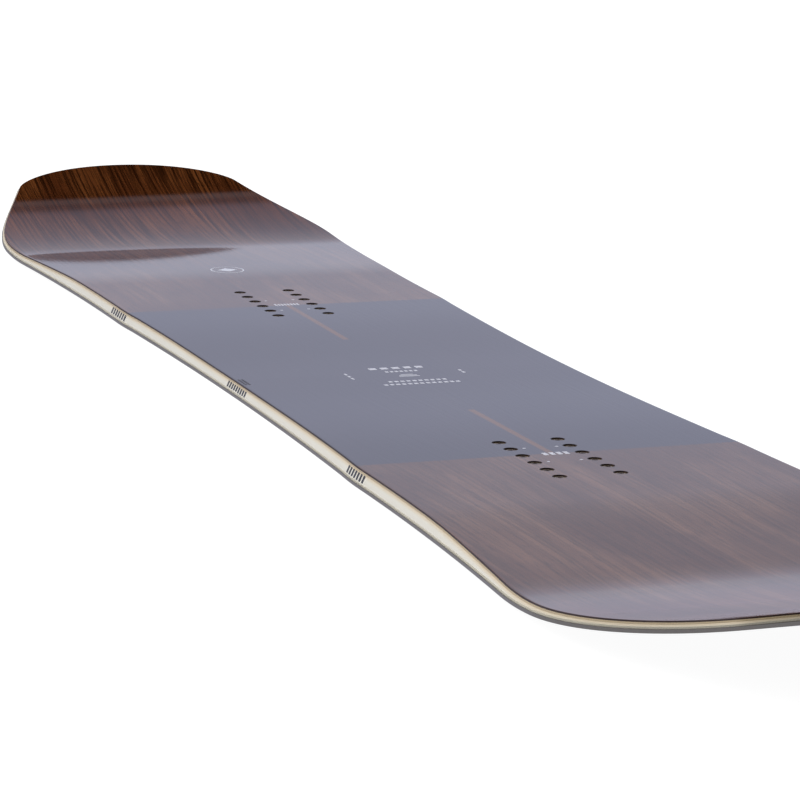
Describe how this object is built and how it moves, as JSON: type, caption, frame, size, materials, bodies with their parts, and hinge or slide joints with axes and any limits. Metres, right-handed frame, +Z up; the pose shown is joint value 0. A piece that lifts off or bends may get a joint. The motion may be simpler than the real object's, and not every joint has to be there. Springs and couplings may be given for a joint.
{
  "type": "snowboard",
  "caption": "Bare twin snowboard with a wood veneer deck, a painted middle panel, pale slanted sidewalls, steel edges, low rocker and two packs of threaded binding sockets.",
  "frame": {"origin": "under the middle of the board, on the plane that the flat middle of the base rests on", "axes": "+X along the board towards the nose, +Y towards the left rail, +Z up out of the deck"},
  "size_m": [1.564, 0.2924, 0.0534],
  "materials": {
    "topsheet": "dark stained veneer under clear gloss coat, with a slate painted middle panel",
    "sidewall": "satin moulded cream plastic",
    "edge_steel": "ground and polished",
    "base": "stone-ground sintered polyethylene",
    "damping_rubber": "matte foil",
    "glass_laminate": "resin-wetted glass cloth",
    "core_wood": "planed light hardwood strips",
    "insert_block": "planed dense hardwood blocks",
    "insert_steel": "bright turned stainless steel"
  },
  "bodies": {
    "root": {"base_middle": "base", "base_nose": "base", "base_tail": "base", "core_strip_left_1_middle": "core_wood", "core_strip_left_1_nose": "core_wood", "core_strip_left_1_tail": "core_wood", "core_strip_left_2": "core_wood", "core_strip_left_3": "core_wood", "core_strip_left_4": "core_wood", "core_strip_left_5": "core_wood", "core_strip_middle": "core_wood", "core_strip_right_1_middle": "core_wood", "core_strip_right_1_nose": "core_wood", "core_strip_right_1_tail": "core_wood", "core_strip_right_2": "core_wood", "core_strip_right_3": "core_wood", "core_strip_right_4": "core_wood", "core_strip_right_5": "core_wood", "insert_block_nose_left": "insert_block", "insert_block_nose_right": "insert_block", "insert_block_tail_left": "insert_block", "insert_block_tail_right": "insert_block", "insert_nose_left_1": "insert_steel", "insert_nose_left_2": "insert_steel", "insert_nose_left_3": "insert_steel", "insert_nose_left_4": "insert_steel", "insert_nose_left_5": "insert_steel", "insert_nose_left_6": "insert_steel", "insert_nose_right_1": "insert_steel", "insert_nose_right_2": "insert_steel", "insert_nose_right_3": "insert_steel", "insert_nose_right_4": "insert_steel", "insert_nose_right_5": "insert_steel", "insert_nose_right_6": "insert_steel", "insert_tail_left_1": "insert_steel", "insert_tail_left_2": "insert_steel", "insert_tail_left_3": "insert_steel", "insert_tail_left_4": "insert_steel", "insert_tail_left_5": "insert_steel", "insert_tail_left_6": "insert_steel", "insert_tail_right_1": "insert_steel", "insert_tail_right_2": "insert_steel", "insert_tail_right_3": "insert_steel", "insert_tail_right_4": "insert_steel", "insert_tail_right_5": "insert_steel", "insert_tail_right_6": "insert_steel", "lower_laminate": "glass_laminate", "nose_spacer": "sidewall", "rubber_foil_left": "damping_rubber", "rubber_foil_right": "damping_rubber", "sidewall_left": "sidewall", "sidewall_right": "sidewall", "steel_edge_left": "edge_steel", "steel_edge_right": "edge_steel", "tail_spacer": "sidewall", "topsheet": "topsheet", "upper_laminate": "glass_laminate"}
  },
  "joints": []
}
